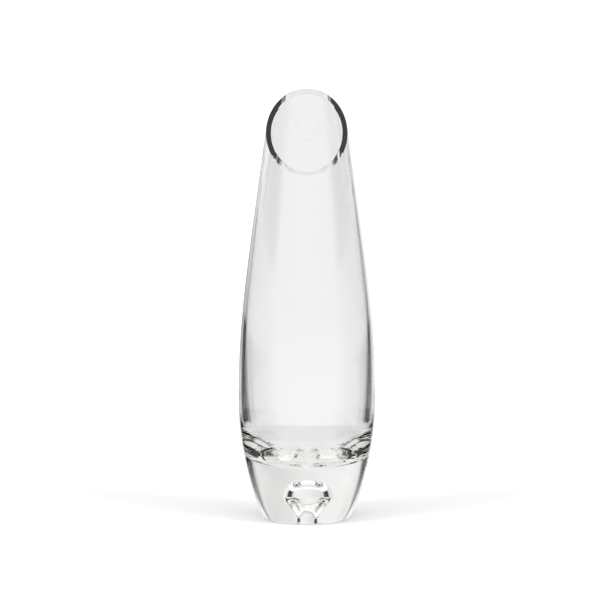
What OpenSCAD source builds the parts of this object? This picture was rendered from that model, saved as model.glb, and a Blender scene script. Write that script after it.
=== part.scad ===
// Glass bud vase: a tall, tapering blown vessel with a slanted, cut and polished mouth,
// fused to a heavy solid base that holds a trapped air bubble.
// Millimetres, +Z up. The origin is on the vase's axis, at the level of the foot.
// The mouth's low side faces -Y.

/* [Outside] */
// Radius of the foot where the outline reaches the table
foot_r = 25; // [20:0.5:28]
// Radius of the rounding where the side meets the foot
foot_edge_r = 2.5; // [0.5:0.1:4]
// Largest outside radius
belly_r = 39.8; // [36:0.2:44]
// Height of the largest radius
belly_z = 71; // [60:1:85]
// Outside radius at the top of the blown tube, before the mouth is cut
tube_top_r = 19.8; // [17:0.1:24]
// Height of the blown tube before the mouth is cut
tube_top_z = 256; // [250:1:265]

/* [Mouth] */
// Height at which the slanted cut crosses the axis
cut_z = 229.5; // [220:0.5:235]
// Slope of the cut above the horizontal
cut_angle = 45; // [30:1:50]
// Wall thickness at the top of the tube
mouth_wall = 3.8; // [2.5:0.1:5]

/* [Cavity] */
// Height of the middle of the cavity's floor
floor_z = 33; // [32:0.5:38]
// Radius at which the floor turns up into the wall
corner_r = 29; // [26:0.5:30]
// Height of that turn
corner_z = 43; // [41:0.5:46]
// Slope of the turn above the horizontal
corner_lean = 50; // [45:1:60]
// Largest inside radius
cavity_r = 36.2; // [33:0.1:38]
// Height of the largest inside radius
cavity_z = 94; // [80:1:110]

/* [Base and bubble] */
// Height of the fused joint between the vessel and the base
seam_z = 30; // [29:0.5:31]
// Largest radius of the air bubble
bubble_r = 9.7; // [8:0.1:10.5]
// Height of the bubble's largest radius
bubble_z = 16.9; // [15:0.1:18]
// Height of the bubble's top
bubble_top = 27.8; // [25:0.1:28.4]
// Radius of the neck below the bubble
neck_r = 4.3; // [3:0.1:5.5]
// Height of the neck
neck_z = 4.5; // [4:0.1:6]
// Radius of the pricked channel where it opens in the foot
channel_r = 4.6; // [3:0.1:5.5]
// Thickness of the dab of glass that closes the channel
seal_t = 1; // [0.6:0.1:2]

/* [Hidden] */

$fn = 96;

// Handles of the two outside curves: foot to belly, then belly to the top of the tube
foot_handle = [5, 6.5];
belly_handle_down = 31.5;
belly_handle_up = 54;
tube_handle = [13.2, 100];

// Handles of the three cavity curves: floor to corner, corner to widest, widest to the top of the tube
floor_handle = 22;
corner_handle_in = 6;
corner_handle_out = 9;
cavity_handle_down = 34;
cavity_handle_up = 48;
neck_handle = [15, 93];

// Handles of the three curves of the air space: channel to neck, neck to bubble, bubble to its top
channel_handle_up = 1.2;
neck_handle_down = 1.2;
neck_handle_up = 4;
bubble_handle_down = 4;
bubble_handle_up = 6.2;
crown_handle = 5.6;

curve_steps = 22;
clear_glass = [0.82, 0.92, 0.9, 0.45];

function bezier(a, b, c, d, t) =
    pow(1 - t, 3) * a + 3 * t * pow(1 - t, 2) * b + 3 * t * t * (1 - t) * c + pow(t, 3) * d;

function curve(a, b, c, d) = [for (i = [0:curve_steps]) bezier(a, b, c, d, i / curve_steps)];

foot_pt = [foot_r, 0];
belly_pt = [belly_r, belly_z];
tube_top_pt = [tube_top_r, tube_top_z];
outside_low = curve(foot_pt, foot_pt + foot_handle, belly_pt - [0, belly_handle_down], belly_pt);
outside_high = curve(belly_pt, belly_pt + [0, belly_handle_up],
    tube_top_pt + [tube_handle[0], -tube_handle[1]], tube_top_pt);

floor_pt = [0, floor_z];
wide_pt = [cavity_r, cavity_z];
neck_pt = [tube_top_r - mouth_wall, tube_top_z];
corner_pt = [corner_r, corner_z];
corner_way = [cos(corner_lean), sin(corner_lean)];
cavity_floor = curve(floor_pt, floor_pt + [floor_handle, 0],
    corner_pt - corner_handle_in * corner_way, corner_pt);
cavity_low = curve(corner_pt, corner_pt + corner_handle_out * corner_way,
    wide_pt - [0, cavity_handle_down], wide_pt);
cavity_high = curve(wide_pt, wide_pt + [0, cavity_handle_up],
    neck_pt + [neck_handle[0], -neck_handle[1]], neck_pt);

// The whole outside shape as one solid of revolution
module outside() {
    rotate_extrude()
        polygon(concat([[0, 0]], outside_low, outside_high, [[0, tube_top_z]]));
}

// The hollow that holds the stem and the water
module cavity() {
    rotate_extrude()
        polygon(concat(cavity_floor, cavity_low, cavity_high,
            [[neck_pt[0], tube_top_z + 1], [0, tube_top_z + 1]]));
}

// Everything above the slanted mouth
module above_cut() {
    reach = 3 * belly_r;
    translate([0, 0, cut_z])
        rotate([cut_angle, 0, 0])
            translate([-reach / 2, -reach / 2, 0])
                cube(reach);
}

// What the foot's rounded edge takes away from the sharp corner
module foot_edge_waste() {
    lean = atan2(foot_handle[1], foot_handle[0]);
    arc_x = foot_r - foot_edge_r * tan(lean / 2);
    rotate_extrude()
        difference() {
            translate([arc_x, -1])
                square([2 * foot_edge_r, 1 + foot_edge_r * (1 - cos(lean))]);
            translate([arc_x, foot_edge_r])
                circle(foot_edge_r);
        }
}

// The air space in the base: an egg-shaped bubble that narrows to a neck above a pricked channel
module bubble() {
    channel_pt = [channel_r, seal_t];
    neck = [neck_r, neck_z];
    side_pt = [bubble_r, bubble_z];
    crown_pt = [0, bubble_top];
    rotate_extrude()
        polygon(concat([[0, -1], [channel_r, -1]],
            curve(channel_pt, channel_pt + [0, channel_handle_up], neck - [0, neck_handle_down], neck),
            curve(neck, neck + [0, neck_handle_up], side_pt - [0, bubble_handle_down], side_pt),
            curve(side_pt, side_pt + [0, bubble_handle_up], crown_pt + [crown_handle, 0], crown_pt)));
}

// The blown body, from the fused joint up to the slanted mouth
module vessel() {
    color(clear_glass)
        difference() {
            outside();
            translate([0, 0, seam_z - tube_top_z])
                cylinder(h = tube_top_z, r = 2 * belly_r);
            cavity();
            above_cut();
        }
}

// The solid base, from the foot up to the fused joint
module base() {
    color(clear_glass)
        difference() {
            intersection() {
                outside();
                cylinder(h = seam_z, r = 2 * belly_r);
            }
            foot_edge_waste();
            bubble();
        }
}

// The dab of glass that closes the channel flush with the foot
module channel_seal() {
    color(clear_glass)
        cylinder(h = seal_t, r = channel_r);
}

vessel();
base();
channel_seal();
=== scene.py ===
import bpy, bmesh, math
import numpy as np
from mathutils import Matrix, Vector


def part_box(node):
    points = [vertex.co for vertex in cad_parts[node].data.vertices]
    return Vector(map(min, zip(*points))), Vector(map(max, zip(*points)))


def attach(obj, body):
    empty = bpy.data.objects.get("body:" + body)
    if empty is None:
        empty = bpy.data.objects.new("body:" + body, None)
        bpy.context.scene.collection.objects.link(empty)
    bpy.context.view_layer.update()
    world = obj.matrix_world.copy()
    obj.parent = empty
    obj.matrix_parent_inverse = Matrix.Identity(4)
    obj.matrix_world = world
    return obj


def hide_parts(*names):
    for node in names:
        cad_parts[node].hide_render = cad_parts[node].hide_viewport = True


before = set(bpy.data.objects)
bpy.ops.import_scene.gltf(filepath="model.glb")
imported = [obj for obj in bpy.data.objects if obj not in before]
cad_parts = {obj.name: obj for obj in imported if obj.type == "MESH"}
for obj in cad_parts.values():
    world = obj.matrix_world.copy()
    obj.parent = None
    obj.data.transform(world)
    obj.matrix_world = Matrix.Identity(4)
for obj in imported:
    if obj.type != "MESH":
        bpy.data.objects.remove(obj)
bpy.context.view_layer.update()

MM = 0.001
scene = bpy.context.scene

# ---------------------------------------------------------------- measures, in millimetres
# From the CAD model's nodes
base_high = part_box("base")[1]
vessel_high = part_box("vessel")[1]
seal_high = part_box("channel_seal")[1]
SEAM_Z = base_high.z / MM
BELLY_R = vessel_high.x / MM
CHANNEL_R = seal_high.y / MM
SEAL_T = seal_high.z / MM

# The design's own driving values: the outside
FOOT_R, FOOT_EDGE_R = 25.0, 2.5
BELLY_Z = 71.0
TUBE_TOP_R, TUBE_TOP_Z = 19.8, 256.0
FOOT_HANDLE = (5.0, 6.5)
BELLY_DOWN, BELLY_UP = 31.5, 54.0
TUBE_HANDLE = (13.2, 100.0)
# The mouth
CUT_Z, CUT_ANGLE = 229.5, math.radians(45)
MOUTH_WALL = 3.8
BEVEL = 0.4
# The cavity
FLOOR_Z = 33.0
CORNER_R, CORNER_Z, CORNER_LEAN = 29.0, 43.0, math.radians(50)
CAVITY_R, CAVITY_Z = 36.2, 94.0
FLOOR_OUT, CORNER_IN, CORNER_OUT = 22.0, 6.0, 9.0
CAVITY_DOWN, CAVITY_UP = 34.0, 48.0
NECK_HANDLE = (15.0, 93.0)
# The air in the base
BUBBLE_R, BUBBLE_Z, BUBBLE_TOP = 9.7, 16.9, 27.8
NECK_R, NECK_Z = 4.3, 4.5
CHANNEL_UP, NECK_DOWN, NECK_UP = 1.2, 1.2, 4.0
BUBBLE_DOWN, BUBBLE_UP, CROWN_OUT = 4.0, 6.2, 5.6
BUBBLE_ASIDE = 0.5
# How deep the dab is dished inside the channel
SEAL_DISH = 0.22

# How finely the meshes are cut: steps round the axis, and points along each stretch of the profile
SEGMENTS = 288
FINE = 400
FOOT_EDGE_POINTS = 13
BODY_ROWS, MOUTH_ROWS = 150, 36
FLOOR_ROWS, WALL_ROWS = 110, 120
SIDE_ROWS = 60
CHANNEL_ROWS, BUBBLE_ROWS, CROWN_ROWS = 16, 48, 57
# Heights that part the floor's rows from the wall's, and the level rows from those that follow the cut
WALL_FROM_Z, MOUTH_FROM_Z = 52, 200.0
# Half the hairline between fused pieces
SEAM_GAP = 0.005
# Edges sharper than this stay crisp
CREASE = math.radians(24)


# ---------------------------------------------------------------- profiles: rows of (radius, height)
def bezier(a, b, c, d, n):
    t = np.linspace(0, 1, n + 1)[:, None]
    a, b, c, d = (np.array(p, float) for p in (a, b, c, d))
    return (1 - t) ** 3 * a + 3 * (1 - t) ** 2 * t * b + 3 * (1 - t) * t * t * c + t**3 * d


def join(*parts):
    return np.vstack([parts[0]] + [p[1:] for p in parts[1:]])


def by_length(path, count):
    """count points along a path, evenly by length."""
    s = np.concatenate([[0], np.cumsum(np.hypot(*np.diff(path, axis=0).T))])
    at = np.linspace(0, 1, count) * s[-1]
    return np.stack([np.interp(at, s, path[:, 0]), np.interp(at, s, path[:, 1])], 1)


def cross(path, z):
    """Where a rising path crosses height z, as a point and the number of path points below it."""
    i = int(np.argmax(path[:, 1] > z))
    t = (z - path[i - 1, 1]) / (path[i, 1] - path[i - 1, 1])
    return path[i - 1] * (1 - t) + path[i] * t, i


def below(path, z):
    p, i = cross(path, z)
    return np.vstack([path[:i], p])


def above(path, z):
    p, i = cross(path, z)
    return np.vstack([p, path[i:]])


def foot_edge():
    """The rounding between the flat foot and the side."""
    lean = math.atan2(FOOT_HANDLE[1], FOOT_HANDLE[0])
    start = FOOT_R - FOOT_EDGE_R * math.tan(lean / 2)
    turns = np.linspace(0, lean, FOOT_EDGE_POINTS)
    return np.array([[start + FOOT_EDGE_R * math.sin(q), FOOT_EDGE_R * (1 - math.cos(q))] for q in turns])


def outside_profile():
    """The outside, from the foot to the top of the blown tube."""
    clear_of_edge = 0.15
    belly, top = (BELLY_R, BELLY_Z), (TUBE_TOP_R, TUBE_TOP_Z)
    under_top = (TUBE_TOP_R + TUBE_HANDLE[0], TUBE_TOP_Z - TUBE_HANDLE[1])
    low = bezier((FOOT_R, 0), (FOOT_R + FOOT_HANDLE[0], FOOT_HANDLE[1]), (BELLY_R, BELLY_Z - BELLY_DOWN),
                 belly, FINE)
    high = bezier(belly, (BELLY_R, BELLY_Z + BELLY_UP), under_top, top, 2 * FINE)
    return np.vstack([edge, above(join(low, high), edge[-1, 1] + clear_of_edge)])


def inside_profile():
    """The cavity, from the middle of its floor to the top of the blown tube."""
    along, up = math.cos(CORNER_LEAN), math.sin(CORNER_LEAN)
    corner, wide = (CORNER_R, CORNER_Z), (CAVITY_R, CAVITY_Z)
    top_r = TUBE_TOP_R - MOUTH_WALL
    return join(
        bezier((0, FLOOR_Z), (FLOOR_OUT, FLOOR_Z), (CORNER_R - CORNER_IN * along, CORNER_Z - CORNER_IN * up),
               corner, FINE),
        bezier(corner, (CORNER_R + CORNER_OUT * along, CORNER_Z + CORNER_OUT * up),
               (CAVITY_R, CAVITY_Z - CAVITY_DOWN), wide, FINE),
        bezier(wide, (CAVITY_R, CAVITY_Z + CAVITY_UP), (top_r + NECK_HANDLE[0], TUBE_TOP_Z - NECK_HANDLE[1]),
               (top_r, TUBE_TOP_Z), 2 * FINE),
    )


def air_profile():
    """The air space in the base, from the foot to just short of the bubble's top."""
    channel_top, neck, side = (CHANNEL_R, SEAL_T), (NECK_R, NECK_Z), (BUBBLE_R, BUBBLE_Z)
    past_seal = np.stack([np.full(3, CHANNEL_R), np.linspace(0, SEAL_T, 3)], 1)
    channel = bezier(channel_top, (CHANNEL_R, SEAL_T + CHANNEL_UP), (NECK_R, NECK_Z - NECK_DOWN), neck, 60)
    swell = bezier(neck, (NECK_R, NECK_Z + NECK_UP), (BUBBLE_R, BUBBLE_Z - BUBBLE_DOWN), side, 200)
    crown = bezier(side, (BUBBLE_R, BUBBLE_Z + BUBBLE_UP), (CROWN_OUT, BUBBLE_TOP), (0, BUBBLE_TOP), 200)
    return join(past_seal, by_length(channel, CHANNEL_ROWS), by_length(swell, BUBBLE_ROWS),
                by_length(crown, CROWN_ROWS)[:-1])


edge = foot_edge()
outline = outside_profile()
hollow = inside_profile()


# ---------------------------------------------------------------- the small unevenness of blown glass
# Each wave: its height in mm, lobes round the axis, phase, and mm of height that turn it by one radian
OUTER_WAVES = ((0.05, 2, 0.7, 90), (0.03, 3, -1.9, 47), (0.012, 7, 0, 31))
INNER_WAVES = ((0.10, 2, 2.1, 80), (0.05, 3, -0.4, -52), (0.02, 5, 0, 21))


def waves(z, a, table):
    return sum(high * np.cos(lobes * a + phase + z / pitch) for high, lobes, phase, pitch in table)


def outer_wave(r, z, a):
    """How far the outside stands proud of a true turned shape, in millimetres. The foot is true."""
    full_at_z = 30.0
    return np.clip(z / full_at_z, 0, 1) * waves(z, a, OUTER_WAVES)


def inner_wave(r, z, a):
    """The same for the cavity, whose middle is true."""
    true_r, fade = 6, 20.0
    return np.clip((r - true_r) / fade, 0, 1) * waves(z, a, INNER_WAVES)


def air_wave(r, z, a):
    """The bubble sits a little to one side of its channel and isn't quite round."""
    true_z, lean_height = 0.5, BUBBLE_Z - 6
    aside = BUBBLE_ASIDE * np.clip((z - SEAL_T - true_z) / lean_height, 0, 1) * math.cos(a)
    uneven = aside + 0.05 * np.cos(2 * a + z / 7) + 0.03 * np.cos(3 * a + 1.3)
    return np.where(z < SEAL_T + true_z, 0, uneven)


def floor_ripple(r, a):
    """The rippled ring where the cavity's floor was pressed down, in millimetres of height."""
    ring_r, ring_width = 23.5, 4.2
    ring = np.exp(-((r - ring_r) / ring_width) ** 2)
    lobes = 0.6 * np.cos(11 * a + 0.4) + 0.5 * np.cos(17 * a + 2.0) + 0.4 * np.cos(6 * a + 1.1)
    return ring * (0.16 * lobes + 0.10 * np.cos(r * 2.2 + 1.5 * np.cos(5 * a)))


def waved(column, wave, a):
    """A profile moved in and out by a wave, which fades near the axis."""
    fade_r = 4
    column = column.copy()
    column[:, 0] += wave(column[:, 0], column[:, 1], a) * np.minimum(1, column[:, 0] / fade_r)
    return column


# ---------------------------------------------------------------- meshes turned about the axis
class Turned:
    """Collects the vertices and faces of a closed shape that is turned about the z axis.

    A surface is a pair: the index of its first vertex, and how many rows of vertices it has.
    """

    def __init__(self):
        self.verts, self.faces, self.tags = [], [], []
        self.angles = np.arange(SEGMENTS) * 2 * math.pi / SEGMENTS

    def rows(self, columns):
        """columns: for each angle an array of (radius, height). Returns the surface they make."""
        first, n = len(self.verts), len(columns[0])
        for a, column in zip(self.angles, columns):
            c, s = math.cos(a), math.sin(a)
            self.verts += [(r * c * MM, r * s * MM, z * MM) for r, z in column]
        return first, n

    def band(self, p, i, q, j, tag):
        """Faces between row i of surface p and row j of surface q."""
        (b1, n1), (b2, n2) = p, q
        for k in range(SEGMENTS):
            m = (k + 1) % SEGMENTS
            self.faces.append((b1 + k * n1 + i, b1 + m * n1 + i, b2 + m * n2 + j, b2 + k * n2 + j))
            self.tags.append(tag)

    def surface(self, p, tag):
        for i in range(p[1] - 1):
            self.band(p, i, p, i + 1, tag)

    def cap(self, p, i, z, tag):
        """Faces from row i of a surface to a point on the axis."""
        self.verts.append((0, 0, z * MM))
        c = len(self.verts) - 1
        for k in range(SEGMENTS):
            m = (k + 1) % SEGMENTS
            self.faces.append((p[0] + k * p[1] + i, p[0] + m * p[1] + i, c))
            self.tags.append(tag)

    def mark(self, mesh, name, tags):
        """A face attribute that is 1 on the faces with these tags."""
        mark = mesh.attributes.new(name, "FLOAT", "FACE")
        mark.data.foreach_set("value", [1.0 if t in tags else 0.0 for t in self.tags])

    def piece(self, name, flat=(), seam=()):
        mesh = bpy.data.meshes.new(name)
        mesh.from_pydata(self.verts, [], self.faces)
        mesh.update()
        mesh.polygons.foreach_set("use_smooth", [t not in flat for t in self.tags])
        self.mark(mesh, "fused_seam", seam)
        self.mark(mesh, "polished_cut", ("cut", "bevel"))
        b = bmesh.new()
        b.from_mesh(mesh)
        bmesh.ops.recalc_face_normals(b, faces=b.faces)
        if b.calc_volume(signed=True) < 0:
            bmesh.ops.reverse_faces(b, faces=b.faces)
        for e in b.edges:
            if len(e.link_faces) == 2 and e.calc_face_angle(0) > CREASE:
                e.smooth = False
        b.to_mesh(mesh)
        b.free()
        made = bpy.data.objects.new(name, mesh)
        scene.collection.objects.link(made)
        return made


def cut_height(r, a):
    return CUT_Z + r * math.sin(a) * math.tan(CUT_ANGLE)


def up_to_cut(path, a, start_z, count, off):
    """The part of a path from start_z to the slanted cut at angle a, less off."""
    f = path[:, 1] - (CUT_Z + path[:, 0] * math.sin(a) * math.tan(CUT_ANGLE) + off)
    i = int(np.argmax(f > 0))
    t = f[i - 1] / (f[i - 1] - f[i])
    end = path[i - 1] * (1 - t) + path[i] * t
    return by_length(above(np.vstack([path[:i], end]), start_z), count)


def vessel_column(low, path, wave, a):
    """One side of the blown wall at angle a, up to where its bevel starts below the cut."""
    return waved(join(low, up_to_cut(path, a, MOUTH_FROM_Z, MOUTH_ROWS, -BEVEL * 0.7)), wave, a)


def on_cut(t, source, shift):
    """A ring on the cut's own plane, beside the last row of a surface."""
    first, n = source
    ring = []
    for k, a in enumerate(t.angles):
        x, y, _ = t.verts[first + k * n + n - 1]
        r = math.hypot(x, y) / MM + shift
        ring.append(np.array([[r, cut_height(r, a)]]))
    return t.rows(ring)


def blown_vessel():
    t = Turned()
    low = by_length(below(above(outline, SEAM_Z + SEAM_GAP), MOUTH_FROM_Z), BODY_ROWS)
    outer = t.rows([vessel_column(low, outline, outer_wave, a) for a in t.angles])
    floor_part = by_length(below(hollow, WALL_FROM_Z), FLOOR_ROWS)[1:]
    wall_part = by_length(below(above(hollow, WALL_FROM_Z), MOUTH_FROM_Z), WALL_ROWS)
    low = join(floor_part, wall_part)
    columns = []
    for a in t.angles:
        column = vessel_column(low, hollow, inner_wave, a)
        column[:, 1] += floor_ripple(column[:, 0], a)
        columns.append(column)
    inner = t.rows(columns)
    rim_out, rim_in = on_cut(t, outer, -BEVEL), on_cut(t, inner, BEVEL)
    t.surface(outer, "outside")
    t.surface(inner, "inside")
    t.cap(inner, 0, FLOOR_Z, "inside")
    t.band(outer, outer[1] - 1, rim_out, 0, "bevel")
    t.band(rim_out, 0, rim_in, 0, "cut")
    t.band(rim_in, 0, inner, inner[1] - 1, "bevel")
    t.cap(outer, 0, SEAM_Z + SEAM_GAP, "seam")
    return t.piece("blown_vessel", flat=("cut", "seam"), seam=("seam",))


def heavy_base():
    t = Turned()
    side = by_length(below(above(outline, edge[-1, 1]), SEAM_Z - SEAM_GAP), SIDE_ROWS)
    side = join(edge, side)
    outer = t.rows([waved(side, outer_wave, a) for a in t.angles])
    air_column = air_profile()
    air = t.rows([waved(air_column, air_wave, a) for a in t.angles])
    t.surface(outer, "outside")
    for i in range(air[1] - 1):
        t.band(air, i, air, i + 1, "seam" if i < 2 else "air")
    t.cap(air, air[1] - 1, BUBBLE_TOP, "air")
    t.band(outer, 0, air, 0, "foot")
    t.cap(outer, outer[1] - 1, SEAM_Z - SEAM_GAP, "seam_top")
    return t.piece("heavy_base", flat=("foot", "seam_top"), seam=("seam", "seam_top"))


def channel_dab():
    t = Turned()
    r = CHANNEL_R - SEAM_GAP
    side_heights = (0.35, 0.7, SEAL_T)
    dish_shares = (0.93, 0.82, 0.66, 0.48, 0.3, 0.14)
    skin = np.array([[0.6 * r, 0.0], [r, 0.0]] + [[r, z] for z in side_heights])
    dish = np.array([[r * q, SEAL_T - SEAL_DISH * (1 - q * q)] for q in dish_shares])
    rows = t.rows([np.vstack([skin, dish])] * SEGMENTS)
    for i in range(rows[1] - 1):
        t.band(rows, i, rows, i + 1, "foot" if i == 0 else "side" if i < len(skin) - 1 else "dish")
    t.cap(rows, 0, 0.0, "foot")
    t.cap(rows, rows[1] - 1, SEAL_T - SEAL_DISH, "dish")
    return t.piece("channel_dab", flat=("foot",), seam=("side",))


vessel = blown_vessel()
base = heavy_base()
seal = channel_dab()


# ---------------------------------------------------------------- materials
class Graph:
    """A shader tree, written as calls that each put in one node and give its first output."""

    def __init__(self, tree):
        self.nodes, self.links = tree.nodes, tree.links
        self.nodes.clear()

    def add(self, kind, **sockets):
        """A new node. Socket names have _ for a space, and a value is a number, a colour or an output."""
        node = self.nodes.new("ShaderNode" + kind)
        for name, value in sockets.items():
            self.set(node.inputs[name.replace("_", " ")], value)
        return node

    def set(self, socket, value):
        if isinstance(value, bpy.types.NodeSocket):
            self.links.new(value, socket)
        else:
            socket.default_value = value

    def maths(self, kind, a, b=None):
        node = self.nodes.new("ShaderNodeMath")
        node.operation = kind
        self.set(node.inputs[0], a)
        if b is not None:
            self.set(node.inputs[1], b)
        return node.outputs[0]

    def span(self, value, start, end, low=0.0, high=1.0):
        """low where value is start or less, rising or falling to high where it is end or more."""
        node = self.add("MapRange", Value=value, From_Min=start, From_Max=end, To_Min=low, To_Max=high)
        return node.outputs[0]

    def blend(self, share, a, b):
        """Colour a where share is 0, and b where it is 1."""
        node = self.nodes.new("ShaderNodeMix")
        node.data_type = "RGBA"
        for socket, value in ((0, share), (6, a), (7, b)):
            self.set(node.inputs[socket], value)
        return node.outputs[2]

    def choose(self, share, a, b):
        """Shader a where share is 0, and b where it is 1."""
        node = self.nodes.new("ShaderNodeMixShader")
        for socket, value in enumerate((share, a, b)):
            self.links.new(value, node.inputs[socket])
        return node.outputs[0]

    def ramp(self, value, stops):
        """Greys along a value: stops are (position, grey)."""
        node = self.add("ValToRGB", Fac=value)
        elements = node.color_ramp.elements
        while len(elements) > 1:
            elements.remove(elements[0])
        for k, (position, grey) in enumerate(stops):
            stop = elements[0] if k == 0 else elements.new(position)
            stop.position, stop.color = position, (grey, grey, grey, 1)
        return node.outputs[0]


def material(name):
    made = bpy.data.materials.new(name)
    made.use_nodes = True
    return made, Graph(made.node_tree)


GLASS_IOR = 1.5
# How high above the table the foot is scuffed, and how fine the scuffs are
SCUFF_HEIGHT, SCUFF_SCALE = 0.7 * MM, 900
# The painted green light on the polished cut, and how far from the vase's middle plane it starts and is full
CUT_PAINTED_LIGHT_GREEN = (0.55, 0.98, 1, 1)
PAINTED_GREEN_FROM, PAINTED_GREEN_FULL = 18.5 * MM, 20.0 * MM
# What each glass surface lets through of the light that goes on to the table
TO_TABLE = (0.7, 0.7, 0.71, 1)
# How far the strongest absorption stays below the volume shader's density
HEADROOM = 1.2
# What a metre of each glass takes from red, green and blue light
CLEAR, WARM = (0.5, 0.5, 0.6), (0.3, 0.4, 0.7)


def glass(name, per_metre, stretch, wave_height, wear):
    """Clear soda glass: slight waves that run along the blown wall, a worn foot, and painted green light at the
    sides of the cut.
    """
    made, g = material(name)
    place = g.add("TexCoord").outputs["Object"]
    axes = g.add("SeparateXYZ", Vector=place)
    paths = g.add("LightPath")

    stretched = g.add("Mapping", Vector=place, Scale=stretch).outputs[0]
    blown = g.add("TexNoise", Vector=stretched, Scale=1.0, Detail=1.5, Roughness=0.35).outputs["Fac"]
    bump = g.add("Bump", Strength=1.0, Distance=wave_height, Height=blown).outputs[0]

    worn = g.span(axes.outputs["Z"], 0.0, SCUFF_HEIGHT, wear, 0.0)
    scuffs = g.add("TexNoise", Vector=place, Scale=SCUFF_SCALE, Detail=3).outputs["Fac"]

    # Painted light: the polished cut's base colour is painted green towards its left and right sides, standing
    # in for light piped round inside the wall
    cut = g.add("Attribute")
    cut.attribute_name = "polished_cut"
    painted_green_sides = g.span(g.maths("ABSOLUTE", axes.outputs["X"]), PAINTED_GREEN_FROM, PAINTED_GREEN_FULL)
    hue_with_painted_green = g.blend(g.maths("MULTIPLY", cut.outputs["Fac"], painted_green_sides), (1, 1, 1, 1), CUT_PAINTED_LIGHT_GREEN)

    clear = g.add("BsdfPrincipled", Base_Color=hue_with_painted_green, Roughness=g.maths("MULTIPLY", worn, scuffs), Normal=bump,
                  Transmission_Weight=1, IOR=GLASS_IOR).outputs[0]
    through = g.add("BsdfTransparent", Color=TO_TABLE).outputs[0]
    lit = g.choose(paths.outputs["Is Shadow Ray"], clear, through)

    # Where two pieces are fused there is no surface between them
    seam = g.add("Attribute")
    seam.attribute_name = "fused_seam"
    nothing = g.add("BsdfTransparent", Color=(1, 1, 1, 1)).outputs[0]
    surface = g.choose(seam.outputs["Fac"], lit, nothing)

    density = max(per_metre) * HEADROOM
    passed = (*(1 - v / density for v in per_metre), 1)
    volume = g.add("VolumeAbsorption", Color=passed, Density=density).outputs[0]
    g.add("OutputMaterial", Surface=surface, Volume=volume)
    return made


vessel.data.materials.append(glass("vessel_glass", CLEAR, (55, 55, 9), 0.012 * MM, 0.0))
base.data.materials.append(glass("base_glass", WARM, (45, 45, 30), 0.012 * MM, 0.3))
seal.data.materials.append(glass("seal_glass", WARM, (300, 300, 300), 0.02 * MM, 0.3))
STAND_INS = (
    (vessel, "vessel", "vessel_glass"),
    (base, "base", "base_glass"),
    (seal, "channel_seal", "seal_glass"),
)
for made, node, slot in STAND_INS:
    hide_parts(node)
    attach(made, "root")


# ---------------------------------------------------------------- the table, in metres
TABLE_FRONT, TABLE_BACK, TABLE_DOWN = 0.7, 0.425, 0.02 * MM
TABLE_TURNS = 48


def table():
    """A white table whose back edge is round. It lies a hair below the foot."""
    turns = [math.pi * k / TABLE_TURNS for k in range(TABLE_TURNS + 1)]
    corners = [(TABLE_BACK * math.cos(q), TABLE_BACK * math.sin(q), -TABLE_DOWN) for q in turns]
    corners += [(x, -TABLE_FRONT, -TABLE_DOWN) for x in (-TABLE_BACK, TABLE_BACK)]
    mesh = bpy.data.meshes.new("table_top")
    mesh.from_pydata(corners, [], [tuple(range(len(corners)))])
    made = bpy.data.objects.new("table_top", mesh)
    scene.collection.objects.link(made)
    paint, g = material("white_table")
    white = g.add("BsdfPrincipled", Base_Color=(0.9, 0.9, 0.9, 1), Roughness=1, Specular_IOR_Level=0).outputs[0]
    g.add("OutputMaterial", Surface=white)
    mesh.materials.append(paint)
    # The glass sees the surroundings below in place of the table
    made.visible_glossy = made.visible_transmission = False


table()

# ---------------------------------------------------------------- the studio's surroundings
# What the glass sees, as greys by direction. In each band a stop is the direction in degrees from straight
# behind the vase, positive to the right, and its grey. The bands follow each other upwards, and each takes
# over from the one below it between two heights in degrees above the horizon.
DOWN = [(0, 0.85)]
DEEP = [(-180, 0.9), (-130, 0.9), (-105, 0.02), (-66, 0.02), (-56, 0.85), (-30, 0.85), (0, 0.78), (30, 0.85),
        (56, 0.85), (66, 0.02), (105, 0.02), (130, 0.9), (180, 0.9)]
UNDER = [(-180, 0.9), (-30, 0.85), (0, 0.78), (30, 0.85), (180, 0.9)]
NEAR = [(-180, 0.95), (-130, 0.95), (-96, 0.02), (-24, 0.02), (-17, 0.8), (0, 0.93), (18, 0.86), (24, 0.5),
        (30, 0.05), (96, 0.02), (130, 0.95), (180, 0.95)]
LOW = [(-180, 0.95), (-60, 0.95), (-48, 0.85), (-45, 0.1), (-41, 0.02), (-33, 0.3), (-29, 0.6), (-25, 0.88),
       (0, 0.88), (25, 0.83), (29, 0.5), (33, 0.25), (41, 0.02), (45, 0.1), (48, 0.8), (60, 0.9), (180, 0.95)]
HIGH = [(-180, 0.95), (-56, 0.85), (-30, 0.95), (0, 0.85), (15, 0.74), (48, 0.76), (60, 0.85), (180, 0.95)]
SIDES = [(-180, 0.95), (-122, 0.9), (-111, 0.01), (-57, 0.01), (-50, 0.8), (-30, 0.97), (0, 0.85), (15, 0.78),
         (44, 0.8), (49, 0.6), (55, 0.01), (111, 0.01), (122, 0.9), (180, 0.95)]
OVER = [(0, 1.15)]
BANDS = [(DEEP, -56.0, -46.0), (UNDER, -32.0, -27.0), (NEAR, -20.5, -18.0), (LOW, -10.2, -9.4),
         (HIGH, 1.0, 3.0), (SIDES, 5.0, 7.0), (OVER, 38.0, 46.0)]
# The even white that lights the table, and the backdrop that the camera sees
ROOM, BACKDROP = 0.72, 1.2


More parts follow.
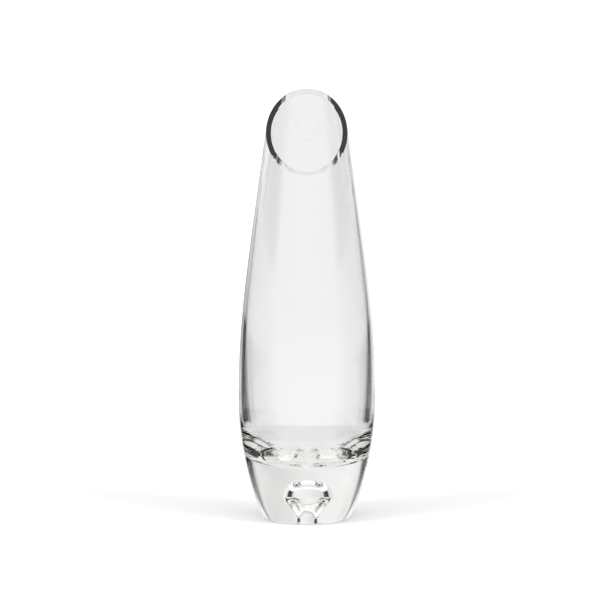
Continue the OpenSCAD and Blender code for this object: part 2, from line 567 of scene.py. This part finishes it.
def surroundings():
    world = bpy.data.worlds.new("studio")
    scene.world = world
    world.use_nodes = True
    g = Graph(world.node_tree)
    axes = g.add("SeparateXYZ", Vector=g.add("TexCoord").outputs["Generated"]).outputs
    paths = g.add("LightPath").outputs
    turn = g.maths("ADD", g.maths("DIVIDE", g.maths("ARCTAN2", axes[0], axes[1]), 2 * math.pi), 0.5)
    height = g.maths("MULTIPLY", g.maths("ARCSINE", axes[2]), 180 / math.pi)

    def round_about(stops):
        return g.ramp(turn, [(degrees / 360 + 0.5, grey) for degrees, grey in stops])

    shade = round_about(DOWN)
    for stops, start, end in BANDS:
        shade = g.blend(g.span(height, start, end), shade, round_about(stops))
    seen = g.add("Background", Color=shade).outputs[0]
    room = g.add("Background", Strength=ROOM).outputs[0]
    backdrop = g.add("Background", Color=(1, 1, 1, 1), Strength=BACKDROP).outputs[0]
    lit = g.choose(paths["Is Diffuse Ray"], seen, room)
    g.add("OutputWorld", Surface=g.choose(paths["Is Camera Ray"], lit, backdrop))


surroundings()


SOFTBOX_SIZE, SOFTBOX_WATTS = (0.6, 0.8), 16


def softbox(name, place):
    """A soft lamp that faces the middle of the vase and isn't seen in the glass."""
    middle = Vector((0, 0, 0.1))
    lamp = bpy.data.lights.new(name, "AREA")
    lamp.shape = "RECTANGLE"
    lamp.size, lamp.size_y = SOFTBOX_SIZE
    lamp.energy = SOFTBOX_WATTS
    made = bpy.data.objects.new(name, lamp)
    scene.collection.objects.link(made)
    made.location = place
    made.rotation_euler = (middle - Vector(place)).to_track_quat("-Z", "Y").to_euler()
    made.visible_camera = made.visible_glossy = made.visible_transmission = False


softbox("softbox_left", (-1.0, -0.6, 0.7))
softbox("softbox_right", (1.0, -0.6, 0.7))

# ---------------------------------------------------------------- camera, in metres
CAMERA_BACK, CAMERA_UP, CAMERA_DIP = 2.0, 0.361, math.radians(6.9)
LENS, SENSOR = 207.3, 36
SHIFT_RIGHT, SHIFT_UP = -0.011314, 0.025084
view = bpy.data.cameras.new("camera")
camera = bpy.data.objects.new("camera", view)
scene.collection.objects.link(camera)
camera.location = (0, -CAMERA_BACK, CAMERA_UP)
camera.rotation_euler = (math.pi / 2 - CAMERA_DIP, 0, 0)
view.sensor_width = SENSOR
view.lens = LENS
view.shift_x, view.shift_y = SHIFT_RIGHT, SHIFT_UP
view.clip_end = 50
scene.camera = camera

scene.view_settings.view_transform = "Standard"
scene.view_settings.look = "None"
# Paths that run round and round inside the thick glass end dark after this many bounces
GLASS_BOUNCES, CLEAR_BOUNCES = 12, 48
cycles = scene.cycles
cycles.max_bounces = cycles.transmission_bounces = cycles.glossy_bounces = GLASS_BOUNCES
cycles.transparent_max_bounces = CLEAR_BOUNCES
cycles.caustics_reflective = cycles.caustics_refractive = False
